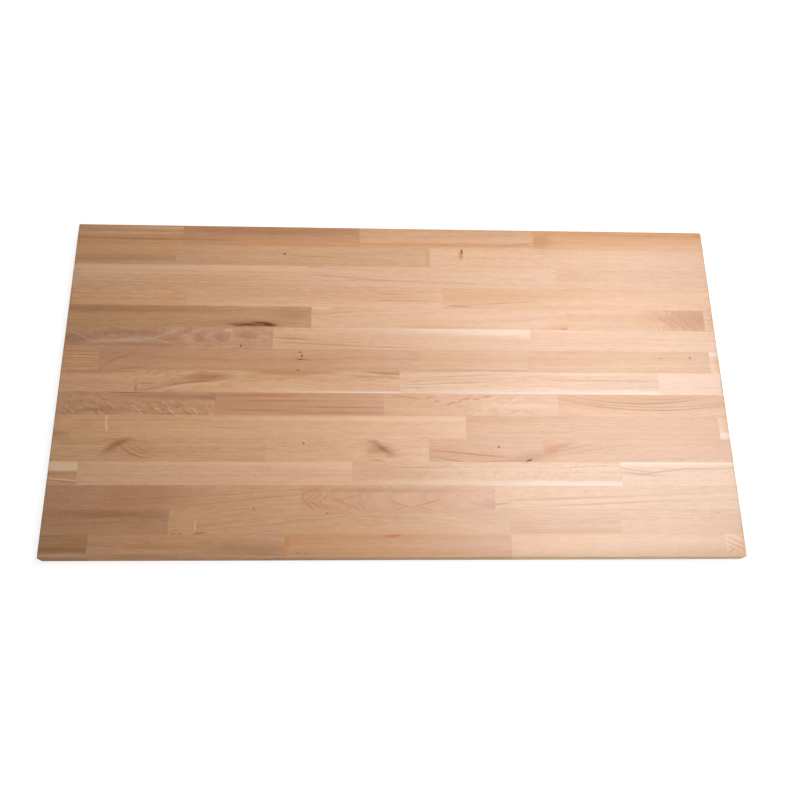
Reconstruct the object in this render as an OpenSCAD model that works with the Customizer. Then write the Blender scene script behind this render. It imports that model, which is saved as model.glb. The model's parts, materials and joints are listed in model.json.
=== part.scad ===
// Tabletop of solid oak staves, glued edge to edge in rows and end to end along each row.
// Millimetres. The origin is the centre of the underside, with X along the staves, Y towards the
// far edge and Z up. Each stave is one solid piece of wood.

/* [Panel] */
// Length of the panel, along its staves
panel_l = 1200; // [1000:5:2400]
// Thickness of the panel
panel_t = 26; // [16:0.5:44]

/* [Rows] */
// Width of the staves in a full row
stave_w = 42.6; // [30:0.1:80]
// Width that trimming leaves of the row at the far edge
far_row_w = 41.5; // [25:0.1:80]
// Width that trimming leaves of the row at the near edge
near_row_w = 39.7; // [25:0.1:80]

/* [Edges] */
// Radius that eases the edges of the top face
top_edge_r = 2; // [0.5:0.25:5]
// Radius that eases the edges of the underside
under_edge_r = 1; // [0.5:0.25:5]
// Radius of the four upright corners
corner_r = 2; // [0.5:0.25:8]

/* [Hidden] */
// Marks the one stave of a row that takes the length its neighbours leave
rest = 0;

// The rows from the far edge to the near one. A stave is its length and its tone, and a row runs
// from the left end of the panel to the right one.
rows = [
  [[197, "tan"], [334, "brown"], [336, "rose"], [rest, "amber"]],
  [[187, "rose"], [478, "rose"], [rest, "sand"]],
  [[435, "sand"], [rest, "sand"], [293, "rose"]],
  [[211, "honey"], [479, "rose"], [rest, "tan"]],
  [[443, "umber"], [rest, "sand"], [262, "tan"], [18, "sand"]],
  [[374, "smoke"], [rest, "tan"], [350, "sand"]],
  [[66, "sand"], [rest, "brown"], [200, "tan"], [340, "amber"], [18, "pale"]],
  [[132, "rose"], [473, "honey"], [rest, "sand"], [119, "pale"]],
  [[277, "smoke"], [299, "amber"], [rest, "sand"], [307, "amber"]],
  [[30, "smoke"], [217, "honey"], [rest, "rose"], [195, "amber"], [264, "tan"], [18, "pale"]],
  [[rest, "tan"], [288, "sand"], [203, "tan"], [341, "amber"]],
  [[50, "pale"], [471, "pale"], [rest, "sand"], [205, "sand"]],
  [[100, "smoke"], [334, "tan"], [334, "brown"], [rest, "rose"]],
  [[211, "brown"], [rest, "tan"], [192, "honey"], [215, "tan"]],
  [[80, "umber"], [328, "brown"], [rest, "amber"], [372, "tan"], [35, "tan"]],
];

// Colour of each tone of the wood, from the palest to the darkest
tones = [
  ["pale", "#e3c3a3"],
  ["sand", "#dab492"],
  ["rose", "#d3aa8a"],
  ["honey", "#d3a878"],
  ["tan", "#cda27e"],
  ["amber", "#c8986f"],
  ["brown", "#bd9070"],
  ["smoke", "#b48c70"],
  ["umber", "#a67d5b"],
];

row_count = len(rows);
panel_w = far_row_w + (row_count - 2) * stave_w + near_row_w;

// What a glued blank stands proud by on each side before the panel is cut to size
trim = 5;
$fn = 64;

function sum(v, i = 0) = i < len(v) ? v[i] + sum(v, i + 1) : 0;

function given_lengths(r) = [for (stave = rows[r]) stave[0]];

function stave_l(r, i) = rows[r][i][0] == rest ? panel_l - sum(given_lengths(r)) : rows[r][i][0];

function left_end(r, i) = sum([for (k = [0 : 1 : i - 1]) stave_l(r, k)]) - panel_l / 2;

function row_w(r) = r == 0 ? far_row_w : r == row_count - 1 ? near_row_w : stave_w;

function near_side(r) = panel_w / 2 - sum([for (k = [0 : r]) row_w(k)]);

function tone_colour(name) = tones[search([name], tones)[0]][1];

function stave_name(r, i) = str("row_", r < 9 ? "0" : "", r + 1, "_stave_", i + 1);

// The waste outside a rounded corner, for a corner at the origin that points to -X and -Y
module corner_waste(r) {
  difference() {
    translate([-trim, -trim])
      square(trim + r);
    translate([r, r])
      circle(r);
  }
}

// A rectangle centred on X, standing on Y = 0, with its lower and upper corners rounded
module eased_rectangle(w, h, lower_r, upper_r) {
  difference() {
    translate([-w / 2, 0])
      square([w, h]);
    for (side = [0, 1])
      mirror([side, 0]) {
        translate([-w / 2, 0])
          corner_waste(lower_r);
        translate([-w / 2, h])
          mirror([0, 1])
            corner_waste(upper_r);
      }
  }
}

// The finished panel as one block, which every blank is cut to
module panel_block() {
  intersection() {
    rotate([90, 0, 0])
      linear_extrude(panel_w + 2 * trim, center = true)
        eased_rectangle(panel_l, panel_t, under_edge_r, top_edge_r);
    rotate([90, 0, 90])
      linear_extrude(panel_l + 2 * trim, center = true)
        eased_rectangle(panel_w, panel_t, under_edge_r, top_edge_r);
    translate([0, -panel_w / 2, -trim])
      linear_extrude(panel_t + 2 * trim)
        eased_rectangle(panel_l, panel_w, corner_r, corner_r);
  }
}

// The block that a stave is before trimming: it meets its neighbours and passes the panel's edges
module stave_blank(r, i) {
  left = i == 0 ? trim : 0;
  right = i == len(rows[r]) - 1 ? trim : 0;
  far = r == 0 ? trim : 0;
  near = r == row_count - 1 ? trim : 0;
  translate([left_end(r, i) - left, near_side(r) - near, -trim])
    cube([left + stave_l(r, i) + right, near + row_w(r) + far, panel_t + 2 * trim]);
}

module stave(r, i) {
  color(tone_colour(rows[r][i][1]))
    intersection() {
      stave_blank(r, i);
      panel_block();
    }
}

for (r = [0 : row_count - 1], i = [0 : len(rows[r]) - 1])
  stave(r, i);
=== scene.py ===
import json
import math

import bpy
from mathutils import Matrix, Vector


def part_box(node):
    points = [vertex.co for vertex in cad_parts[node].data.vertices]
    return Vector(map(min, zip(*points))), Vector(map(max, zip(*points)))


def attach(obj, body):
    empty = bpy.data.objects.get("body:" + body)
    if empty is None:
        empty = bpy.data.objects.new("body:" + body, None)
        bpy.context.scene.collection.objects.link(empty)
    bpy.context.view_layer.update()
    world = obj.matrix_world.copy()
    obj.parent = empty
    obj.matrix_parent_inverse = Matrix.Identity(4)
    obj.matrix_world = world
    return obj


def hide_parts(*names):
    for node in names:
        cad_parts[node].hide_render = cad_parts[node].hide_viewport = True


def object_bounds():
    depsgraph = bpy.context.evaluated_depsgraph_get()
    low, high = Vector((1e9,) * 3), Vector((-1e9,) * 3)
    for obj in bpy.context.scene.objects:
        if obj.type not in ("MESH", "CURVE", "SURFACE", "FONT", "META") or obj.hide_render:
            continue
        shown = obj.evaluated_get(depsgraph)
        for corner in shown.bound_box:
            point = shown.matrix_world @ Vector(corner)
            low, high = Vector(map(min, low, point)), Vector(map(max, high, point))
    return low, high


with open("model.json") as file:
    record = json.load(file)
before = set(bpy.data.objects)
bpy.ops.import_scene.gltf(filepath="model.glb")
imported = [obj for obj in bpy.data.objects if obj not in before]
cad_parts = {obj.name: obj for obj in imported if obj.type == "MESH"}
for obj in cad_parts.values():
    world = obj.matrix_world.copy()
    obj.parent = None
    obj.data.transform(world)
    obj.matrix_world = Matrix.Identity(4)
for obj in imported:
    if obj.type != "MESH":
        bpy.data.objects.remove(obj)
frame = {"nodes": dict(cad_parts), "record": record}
cadLow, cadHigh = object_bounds()
panelHalf = (cadHigh - cadLow) / 2
print("frame loaded:", len(frame["nodes"]), "nodes")

mm = 0.001


def linearColour(hexText, alpha=1.0):
    channels = [int(hexText[i : i + 2], 16) / 255 for i in (1, 3, 5)]
    return [c / 12.92 if c <= 0.04045 else ((c + 0.055) / 1.055) ** 2.4 for c in channels] + [alpha]


def addNode(tree, kind, feeds=None, **settings):
    node = tree.nodes.new(kind)
    for name, value in settings.items():
        setattr(node, name, value)
    for key, value in (feeds or {}).items():
        if isinstance(value, bpy.types.NodeSocket):
            tree.links.new(value, node.inputs[key])
        else:
            node.inputs[key].default_value = value
    return node


def newGroup(name, kind, inputs, outputs):
    tree = bpy.data.node_groups.new(name, kind)
    for socketName, socketKind in inputs:
        tree.interface.new_socket(socketName, in_out="INPUT", socket_type=socketKind)
    for socketName, socketKind in outputs:
        tree.interface.new_socket(socketName, in_out="OUTPUT", socket_type=socketKind)
    return tree, addNode(tree, "NodeGroupInput").outputs, addNode(tree, "NodeGroupOutput")


# Oak, planed, sanded and oiled: a satin skin over the growth rings of each stave's own log

grainScale = {
    "waveLength": 170,  # mm along the grain for one slow bend of the fibres
    "waveWidth": 45,  # mm across the grain for the same bend
    "fibreLength": 24,  # mm, bundles of fibre drawn about twice their real size so that they show
    "fibreWidth": 2.2,
    "broadLength": 220,  # mm, slow changes of tone along a board
    "broadWidth": 13,
    "poreLength": 4.5,  # mm, the open vessels of the early wood
    "poreWidth": 0.5,
    "fleckLength": 17,  # mm, ray flecks and curl, which cross the grain
    "fleckWidth": 2.8,
    "fleckFade": 25,  # mm over which a patch of flecks starts
    "endDarkening": 0.72,  # sawn ends drink more oil
    "glueLine": 0.14,  # mm, the hairline where two staves meet
    "glueTint": 0.6,
}


def oakGrainGroup(scale):
    tree, given, result = newGroup(
        "oak grain",
        "ShaderNodeTree",
        [
            ("Centre", "NodeSocketVector"),
            ("Half Size", "NodeSocketVector"),
            ("Tone", "NodeSocketColor"),
            ("Seed", "NodeSocketFloat"),
            ("Pith Across", "NodeSocketFloat"),
            ("Pith Below", "NodeSocketFloat"),
            ("Lean", "NodeSocketFloat"),
            ("Tilt", "NodeSocketFloat"),
            ("Bow", "NodeSocketFloat"),
            ("Bow At", "NodeSocketFloat"),
            ("Ring", "NodeSocketFloat"),
            ("Wave", "NodeSocketFloat"),
            ("Lines", "NodeSocketFloat"),
            ("Flecks", "NodeSocketFloat"),
            ("Fleck Turn", "NodeSocketFloat"),
            ("Fleck Start", "NodeSocketFloat"),
            ("Fleck End", "NodeSocketFloat"),
            ("Knot", "NodeSocketVector"),
            ("Knot Size", "NodeSocketFloat"),
            ("Knot Pull", "NodeSocketFloat"),
        ],
        [("Color", "NodeSocketColor"), ("Grain", "NodeSocketFloat")],
    )
    maths = "ShaderNodeMath"
    vectors = "ShaderNodeVectorMath"
    noise = "ShaderNodeTexNoise"

    # millimetres from the middle of the stave
    objectPlace = addNode(tree, "ShaderNodeTexCoord").outputs["Object"]
    inMm = addNode(tree, vectors, {0: objectPlace, "Scale": 1 / mm}, operation="SCALE").outputs[0]
    local = addNode(tree, vectors, {0: inMm, 1: given["Centre"]}, operation="SUBTRACT").outputs[0]
    axes = addNode(tree, "ShaderNodeSeparateXYZ", {0: local}).outputs
    seedStep = addNode(tree, vectors, {0: (31.7, 17.3, 23.9), "Scale": given["Seed"]}, operation="SCALE")

    # slow bends of the fibres
    waveSize = (1 / scale["waveLength"], 1 / scale["waveWidth"], 1 / scale["waveWidth"])
    waveAt = addNode(
        tree, vectors, {0: local, 1: waveSize, 2: seedStep.outputs[0]}, operation="MULTIPLY_ADD"
    ).outputs[0]
    waves = addNode(tree, noise, {"Vector": waveAt, "Scale": 1, "Detail": 2, "Roughness": 0.45})
    bends = addNode(tree, "ShaderNodeSeparateColor", {0: waves.outputs["Color"]}).outputs
    wideWave = addNode(tree, maths, {0: given["Wave"], 1: 4}, operation="MULTIPLY").outputs[0]
    centredBend = addNode(tree, maths, {0: bends[0], 1: 0.5}, operation="SUBTRACT").outputs[0]
    centredSink = addNode(tree, maths, {0: bends[1], 1: 0.5}, operation="SUBTRACT").outputs[0]
    bend = addNode(tree, maths, {0: centredBend, 1: wideWave}, operation="MULTIPLY").outputs[0]
    sink = addNode(tree, maths, {0: centredSink, 1: wideWave}, operation="MULTIPLY").outputs[0]

    # the fibres part around a knot
    fromKnot = addNode(tree, vectors, {0: local, 1: given["Knot"]}, operation="SUBTRACT").outputs[0]
    flatKnot = addNode(tree, vectors, {0: fromKnot, 1: (0.55, 1, 0)}, operation="MULTIPLY").outputs[0]
    knotReach = addNode(tree, vectors, {0: flatKnot}, operation="LENGTH").outputs["Value"]
    knotShare = addNode(tree, maths, {0: knotReach, 1: given["Knot Size"]}, operation="DIVIDE").outputs[0]
    knotSquare = addNode(tree, maths, {0: knotShare, 1: 2}, operation="POWER").outputs[0]
    knotFall = addNode(tree, maths, {0: 0, 1: knotSquare}, operation="SUBTRACT").outputs[0]
    knotBell = addNode(tree, maths, {0: knotFall}, operation="EXPONENT").outputs[0]
    knotSide = addNode(tree, "ShaderNodeSeparateXYZ", {0: fromKnot}).outputs[1]
    knotPart = addNode(tree, maths, {0: knotSide, 1: given["Knot Pull"]}, operation="MULTIPLY").outputs[0]
    knotShift = addNode(tree, maths, {0: knotPart, 1: knotBell}, operation="MULTIPLY").outputs[0]

    # distance from the log's pith, which is what the rings follow
    fromBow = addNode(tree, maths, {0: axes[0], 1: given["Bow At"]}, operation="SUBTRACT").outputs[0]
    bowSquare = addNode(tree, maths, {0: fromBow, 1: 2}, operation="POWER").outputs[0]
    bowRise = addNode(tree, maths, {0: bowSquare, 1: given["Bow"]}, operation="MULTIPLY").outputs[0]
    leanRise = addNode(
        tree, maths, {0: axes[0], 1: given["Lean"], 2: bowRise}, operation="MULTIPLY_ADD"
    ).outputs[0]
    acrossBent = addNode(tree, maths, {0: axes[1], 1: bend}, operation="ADD").outputs[0]
    acrossParted = addNode(tree, maths, {0: acrossBent, 1: knotShift}, operation="SUBTRACT").outputs[0]
    acrossLeant = addNode(tree, maths, {0: acrossParted, 1: leanRise}, operation="SUBTRACT").outputs[0]
    across = addNode(tree, maths, {0: acrossLeant, 1: given["Pith Across"]}, operation="SUBTRACT").outputs[0]
    tiltRise = addNode(tree, maths, {0: axes[0], 1: given["Tilt"], 2: sink}, operation="MULTIPLY_ADD")
    belowPith = addNode(tree, maths, {0: axes[2], 1: given["Pith Below"]}, operation="ADD").outputs[0]
    below = addNode(tree, maths, {0: belowPith, 1: tiltRise.outputs[0]}, operation="ADD").outputs[0]
    fromPith = addNode(tree, "ShaderNodeCombineXYZ", {0: across, 1: below}).outputs[0]
    radius = addNode(tree, vectors, {0: fromPith}, operation="LENGTH").outputs["Value"]

    # rings: a dark porous line where each one starts, and no two alike
    unevenAt = addNode(tree, maths, {0: radius, 1: 0.09, 2: given["Seed"]}, operation="MULTIPLY_ADD")
    uneven = addNode(
        tree, noise, {"W": unevenAt.outputs[0], "Scale": 1, "Detail": 1}, noise_dimensions="1D"
    ).outputs["Fac"]
    unevenRings = addNode(tree, maths, {0: uneven, 1: 4}, operation="MULTIPLY").outputs[0]
    rings = addNode(tree, maths, {0: radius, 1: given["Ring"]}, operation="DIVIDE").outputs[0]
    phase = addNode(tree, maths, {0: rings, 1: unevenRings}, operation="ADD").outputs[0]
    intoRing = addNode(tree, maths, {0: phase}, operation="FRACT").outputs[0]
    fromNext = addNode(tree, maths, {0: 1, 1: intoRing}, operation="SUBTRACT").outputs[0]
    porousLine = addNode(tree, maths, {0: fromNext, 1: 3}, operation="POWER").outputs[0]
    stripeAt = addNode(tree, maths, {0: radius, 1: 0.22, 2: given["Seed"]}, operation="MULTIPLY_ADD")
    stripe = addNode(
        tree, noise, {"W": stripeAt.outputs[0], "Scale": 1, "Detail": 2}, noise_dimensions="1D"
    ).outputs["Fac"]

    # fibres, slow tone changes and pores all run along the rings
    alongRing = addNode(tree, "ShaderNodeCombineXYZ", {0: axes[0], 1: radius}).outputs[0]
    fibreSize = (1 / scale["fibreLength"], 1 / scale["fibreWidth"], 1)
    fibreAt = addNode(
        tree, vectors, {0: alongRing, 1: fibreSize, 2: seedStep.outputs[0]}, operation="MULTIPLY_ADD"
    ).outputs[0]
    fibre = addNode(tree, noise, {"Vector": fibreAt, "Scale": 1, "Detail": 3}).outputs["Fac"]
    broadSize = (1 / scale["broadLength"], 1 / scale["broadWidth"], 1)
    broadAt = addNode(
        tree, vectors, {0: alongRing, 1: broadSize, 2: seedStep.outputs[0]}, operation="MULTIPLY_ADD"
    ).outputs[0]
    broad = addNode(tree, noise, {"Vector": broadAt, "Scale": 1, "Detail": 2})
    poreSize = (1 / scale["poreLength"], 1 / scale["poreWidth"], 1)
    poreAt = addNode(
        tree, vectors, {0: alongRing, 1: poreSize, 2: seedStep.outputs[0]}, operation="MULTIPLY_ADD"
    ).outputs[0]
    poreNoise = addNode(tree, noise, {"Vector": poreAt, "Scale": 1, "Detail": 1}).outputs["Fac"]
    pores = addNode(
        tree, "ShaderNodeMapRange", {"Value": poreNoise, "From Min": 0.54, "From Max": 0.66}
    ).outputs[0]
    poreShare = addNode(tree, maths, {0: porousLine, 1: 0.6, 2: 0.4}, operation="MULTIPLY_ADD").outputs[0]
    openPores = addNode(tree, maths, {0: pores, 1: poreShare}, operation="MULTIPLY").outputs[0]

    # ray flecks and curl in patches
    fleckTurn = addNode(tree, "ShaderNodeCombineXYZ", {2: given["Fleck Turn"]}).outputs[0]
    turned = addNode(
        tree,
        "ShaderNodeMapping",
        {"Vector": local, "Rotation": fleckTurn, "Scale": (scale["fleckLength"], scale["fleckWidth"], 10)},
        vector_type="TEXTURE",
    )
    fleckAt = addNode(
        tree, vectors, {0: turned.outputs[0], 1: seedStep.outputs[0]}, operation="ADD"
    ).outputs[0]
    fleckNoise = addNode(
        tree, noise, {"Vector": fleckAt, "Scale": 1, "Detail": 2, "Distortion": 1.1}
    ).outputs["Fac"]
    patch = addNode(
        tree, "ShaderNodeMapRange", {"Value": bends[2], "From Min": 0.34, "From Max": 0.5}
    ).outputs[0]
    inward = []
    for edge, sign in (("Fleck Start", 1), ("Fleck End", -1)):
        past = addNode(tree, maths, {0: axes[0], 1: given[edge]}, operation="SUBTRACT").outputs[0]
        faded = addNode(tree, maths, {0: past, 1: sign / scale["fleckFade"]}, operation="MULTIPLY")
        inward.append(faded.outputs[0])
    inSpan = addNode(tree, maths, {0: inward[0], 1: inward[1]}, operation="MINIMUM", use_clamp=True)
    patchInSpan = addNode(tree, maths, {0: patch, 1: inSpan.outputs[0]}, operation="MULTIPLY").outputs[0]
    fleckCentred = addNode(tree, maths, {0: fleckNoise, 1: 0.5}, operation="SUBTRACT").outputs[0]
    fleckPatch = addNode(tree, maths, {0: fleckCentred, 1: patchInSpan}, operation="MULTIPLY").outputs[0]
    flecks = addNode(tree, maths, {0: fleckPatch, 1: given["Flecks"]}, operation="MULTIPLY").outputs[0]

    # sum of the figure, 0 where darkest and 1 where palest
    stripes = addNode(tree, maths, {0: stripe, 1: 0.6, 2: -0.3}, operation="MULTIPLY_ADD").outputs[0]
    fibres = addNode(tree, maths, {0: fibre, 1: 1.45, 2: stripes}, operation="MULTIPLY_ADD").outputs[0]
    tones = addNode(
        tree, maths, {0: broad.outputs["Fac"], 1: 0.8, 2: fibres}, operation="MULTIPLY_ADD"
    ).outputs[0]
    centred = addNode(tree, maths, {0: tones, 1: 1.04}, operation="SUBTRACT").outputs[0]
    lined = addNode(tree, maths, {0: porousLine, 1: -0.3, 2: centred}, operation="MULTIPLY_ADD").outputs[0]
    pored = addNode(tree, maths, {0: openPores, 1: -0.9, 2: lined}, operation="MULTIPLY_ADD").outputs[0]
    figure = addNode(tree, maths, {0: pored, 1: given["Lines"], 2: flecks}, operation="MULTIPLY_ADD")
    grain = addNode(tree, maths, {0: figure.outputs[0], 1: 0.5}, operation="ADD").outputs[0]

    # colour: early wood darker and redder, late wood paler, and slow drifts from pink to gold
    darkTone = addNode(tree, "ShaderNodeMix", data_type="RGBA", blend_type="MULTIPLY")
    tree.links.new(given["Tone"], darkTone.inputs[6])
    darkTone.inputs[0].default_value = 1
    darkTone.inputs[7].default_value = (0.62, 0.4, 0.23, 1)
    paleTone = addNode(tree, "ShaderNodeMix", data_type="RGBA", blend_type="MULTIPLY")
    tree.links.new(given["Tone"], paleTone.inputs[6])
    paleTone.inputs[0].default_value = 1
    paleTone.inputs[7].default_value = (1.36, 1.5, 1.66, 1)
    towardsTone = addNode(
        tree, "ShaderNodeMapRange", {"Value": grain, "From Min": 0, "From Max": 0.5}
    ).outputs[0]
    towardsPale = addNode(
        tree, "ShaderNodeMapRange", {"Value": grain, "From Min": 0.5, "From Max": 1}
    ).outputs[0]
    darkMix = addNode(tree, "ShaderNodeMix", {0: towardsTone}, data_type="RGBA")
    tree.links.new(darkTone.outputs[2], darkMix.inputs[6])
    tree.links.new(given["Tone"], darkMix.inputs[7])
    paleMix = addNode(tree, "ShaderNodeMix", {0: towardsPale}, data_type="RGBA")
    tree.links.new(darkMix.outputs[2], paleMix.inputs[6])
    tree.links.new(paleTone.outputs[2], paleMix.inputs[7])
    driftChannels = addNode(tree, "ShaderNodeSeparateColor", {0: broad.outputs["Color"]}).outputs
    drift = addNode(
        tree, "ShaderNodeMapRange", {"Value": driftChannels[1], "From Min": 0.35, "From Max": 0.65}
    ).outputs[0]
    driftTint = addNode(tree, "ShaderNodeMix", {0: drift}, data_type="RGBA")
    driftTint.inputs[6].default_value = (1.01, 1.0, 0.96, 1)
    driftTint.inputs[7].default_value = (0.995, 0.995, 1.02, 1)
    drifted = addNode(tree, "ShaderNodeMix", {0: 1.0}, data_type="RGBA", blend_type="MULTIPLY")
    tree.links.new(paleMix.outputs[2], drifted.inputs[6])
    tree.links.new(driftTint.outputs[2], drifted.inputs[7])

    # the sawn ends are darker
    facing = addNode(tree, "ShaderNodeTexCoord").outputs["Normal"]
    facingAxes = addNode(tree, "ShaderNodeSeparateXYZ", {0: facing}).outputs
    endwise = addNode(tree, maths, {0: facingAxes[0]}, operation="ABSOLUTE").outputs[0]
    onEnd = addNode(
        tree, "ShaderNodeMapRange", {"Value": endwise, "From Min": 0.6, "From Max": 0.95}
    ).outputs[0]
    ended = addNode(tree, "ShaderNodeMix", {0: onEnd}, data_type="RGBA", blend_type="MULTIPLY")
    tree.links.new(drifted.outputs[2], ended.inputs[6])
    endTint = scale["endDarkening"]
    ended.inputs[7].default_value = (endTint, endTint * 0.96, endTint * 0.9, 1)

    # a hairline of glue round the stave, but none on a face that ends the panel
    halves = addNode(tree, "ShaderNodeSeparateXYZ", {0: given["Half Size"]}).outputs
    gaps = []
    for axis in (0, 1):
        away = addNode(tree, maths, {0: axes[axis]}, operation="ABSOLUTE").outputs[0]
        gap = addNode(tree, maths, {0: halves[axis], 1: away}, operation="SUBTRACT").outputs[0]
        turned = addNode(tree, maths, {0: facingAxes[axis]}, operation="ABSOLUTE").outputs[0]
        gaps.append(addNode(tree, maths, {0: turned, 1: 10, 2: gap}, operation="MULTIPLY_ADD").outputs[0])
    nearest = addNode(tree, maths, {0: gaps[0], 1: gaps[1]}, operation="MINIMUM").outputs[0]
    onJoint = addNode(
        tree, "ShaderNodeMapRange", {"Value": nearest, "From Min": scale["glueLine"], "From Max": 0}
    ).outputs[0]
    jointed = addNode(tree, "ShaderNodeMix", {0: onJoint}, data_type="RGBA", blend_type="MULTIPLY")
    tree.links.new(ended.outputs[2], jointed.inputs[6])
    glueTint = scale["glueTint"]
    jointed.inputs[7].default_value = (glueTint, glueTint * 0.9, glueTint * 0.8, 1)
    tree.links.new(jointed.outputs[2], result.inputs["Color"])
    tree.links.new(grain, result.inputs["Grain"])
    return tree


def woodMarkGroup():
    tree, given, result = newGroup(
        "wood mark",
        "ShaderNodeTree",
        [
            ("Base", "NodeSocketColor"),
            ("Centre", "NodeSocketVector"),
            ("Half Length", "NodeSocketFloat"),
            ("Half Width", "NodeSocketFloat"),
            ("Slope", "NodeSocketFloat"),
            ("Sag", "NodeSocketFloat"),
            ("Softness", "NodeSocketFloat"),
            ("Ragged", "NodeSocketFloat"),
            ("Mark Color", "NodeSocketColor"),
            ("Strength", "NodeSocketFloat"),
        ],
        [("Color", "NodeSocketColor"), ("Mask", "NodeSocketFloat")],
    )
    maths = "ShaderNodeMath"
    vectors = "ShaderNodeVectorMath"
    objectPlace = addNode(tree, "ShaderNodeTexCoord").outputs["Object"]
    inMm = addNode(tree, vectors, {0: objectPlace, "Scale": 1 / mm}, operation="SCALE").outputs[0]
    local = addNode(tree, vectors, {0: inMm, 1: given["Centre"]}, operation="SUBTRACT").outputs[0]
    axes = addNode(tree, "ShaderNodeSeparateXYZ", {0: local}).outputs
    wanderAt = addNode(tree, vectors, {0: inMm, 1: (1 / 38, 1 / 9, 0)}, operation="MULTIPLY").outputs[0]
    wander = addNode(tree, "ShaderNodeTexNoise", {"Vector": wanderAt, "Scale": 1, "Detail": 1})
    shredAt = addNode(tree, vectors, {0: inMm, 1: (1 / 26, 1 / 1.1, 0)}, operation="MULTIPLY").outputs[0]
    shred = addNode(tree, "ShaderNodeTexNoise", {"Vector": shredAt, "Scale": 1, "Detail": 2})
    lengthShare = addNode(tree, maths, {0: axes[0], 1: given["Half Length"]}, operation="DIVIDE").outputs[0]
    lengthSquare = addNode(tree, maths, {0: lengthShare, 1: 2}, operation="POWER").outputs[0]
    sagged = addNode(tree, maths, {0: lengthSquare, 1: given["Sag"]}, operation="MULTIPLY").outputs[0]
    sloped = addNode(
        tree, maths, {0: axes[0], 1: given["Slope"], 2: sagged}, operation="MULTIPLY_ADD"
    ).outputs[0]
    straight = addNode(tree, maths, {0: axes[1], 1: sloped}, operation="SUBTRACT").outputs[0]
    widthShare = addNode(tree, maths, {0: straight, 1: given["Half Width"]}, operation="DIVIDE").outputs[0]
    wandering = addNode(tree, maths, {0: wander.outputs["Fac"], 1: 0.5}, operation="SUBTRACT").outputs[0]
    ragged = addNode(tree, maths, {0: given["Ragged"], 1: 3}, operation="MULTIPLY").outputs[0]
    shifted = addNode(
        tree, maths, {0: wandering, 1: ragged, 2: widthShare}, operation="MULTIPLY_ADD"
    ).outputs[0]
    reachAt = addNode(tree, "ShaderNodeCombineXYZ", {0: lengthShare, 1: shifted}).outputs[0]
    reach = addNode(tree, vectors, {0: reachAt}, operation="LENGTH").outputs["Value"]
    shredding = addNode(tree, maths, {0: shred.outputs["Fac"], 1: 0.5}, operation="SUBTRACT").outputs[0]
    frayed = addNode(
        tree, maths, {0: shredding, 1: given["Ragged"], 2: reach}, operation="MULTIPLY_ADD"
    ).outputs[0]
    outside = addNode(tree, maths, {0: 1, 1: given["Softness"]}, operation="ADD").outputs[0]
    inside = addNode(tree, maths, {0: 1, 1: given["Softness"]}, operation="SUBTRACT").outputs[0]
    mask = addNode(
        tree,
        "ShaderNodeMapRange",
        {"Value": frayed, "From Min": outside, "From Max": inside},
        interpolation_type="SMOOTHSTEP",
    ).outputs[0]
    share = addNode(tree, maths, {0: mask, 1: given["Strength"]}, operation="MULTIPLY").outputs[0]
    mixed = addNode(tree, "ShaderNodeMix", {0: share}, data_type="RGBA")
    tree.links.new(given["Base"], mixed.inputs[6])
    tree.links.new(given["Mark Color"], mixed.inputs[7])
    tree.links.new(mixed.outputs[2], result.inputs["Color"])
    tree.links.new(share, result.inputs["Mask"])
    return tree


tones = {
    "pale": "#d8ae8e",
    "sand": "#cea381",
    "rose": "#cb9e7a",
    "honey": "#cf9f78",
    "tan": "#c79871",
    "amber": "#bf8e63",
    "brown": "#ba8c6a",
    "smoke": "#b88e70",
    "umber": "#b08460",
}

# colour, share of it laid over the grain, softness of the rim, raggedness, dent depth in mm, and the
# share of the shine that it takes away
markKinds = {
    "rust": ("#bd7a38", 0.4, 0.8, 0.35, 0, 0),
    "orange": ("#bf7a3a", 0.55, 0.7, 0.3, 0, 0),
    "ember": ("#a8602c", 0.6, 0.7, 0.4, 0, 0.6),
    "warm": ("#b98048", 0.3, 0.9, 0.3, 0, 0),
    "gold": ("#cc9660", 0.3, 0.8, 0.35, 0, 0),
    "brown": ("#96592b", 0.36, 0.7, 0.4, 0, 0.4),
    "heart": ("#b07c50", 0.8, 0.35, 0.2, 0, 0),
    "line": ("#8f5220", 0.4, 0.6, 0.3, 0, 0.6),
    "vein": ("#864a1a", 0.48, 0.6, 0.3, 0, 0.6),
    "arc": ("#a5632c", 0.5, 0.6, 0.2, 0, 0.6),
    "blush": ("#b98466", 0.4, 0.8, 0.5, 0, 0),
    "dark": ("#6d3408", 0.6, 0.55, 0.3, 0.1, 1),
    "dusk": ("#8c6041", 0.4, 0.8, 0.5, 0, 0),
    "smoke": ("#8f6240", 0.33, 0.8, 0.5, 0, 0),
    "olive": ("#8c6234", 0.42, 0.6, 0.35, 0, 0),
    "bark": ("#6b4a2a", 0.6, 0.5, 0.6, 0.3, 1),
    "core": ("#4c2410", 0.78, 0.5, 0.5, 0.3, 1),
    "knot": ("#84522a", 0.44, 0.9, 0.6, 0, 0.5),
    "pin": ("#7a3612", 0.8, 0.6, 0.2, 0.15, 1),
    "faint": ("#a0683c", 0.38, 0.8, 0.5, 0, 0.4),
    "ray": ("#cda98a", 0.45, 0.8, 0.5, 0, 0),
    "pale": ("#ddb896", 0.42, 0.9, 0.35, 0, 0),
    "cream": ("#e6c4a0", 0.66, 0.5, 0.25, 0, 0),
    "sap": ("#e4cfbe", 0.6, 0.7, 0.25, 0, 0),
}

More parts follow.
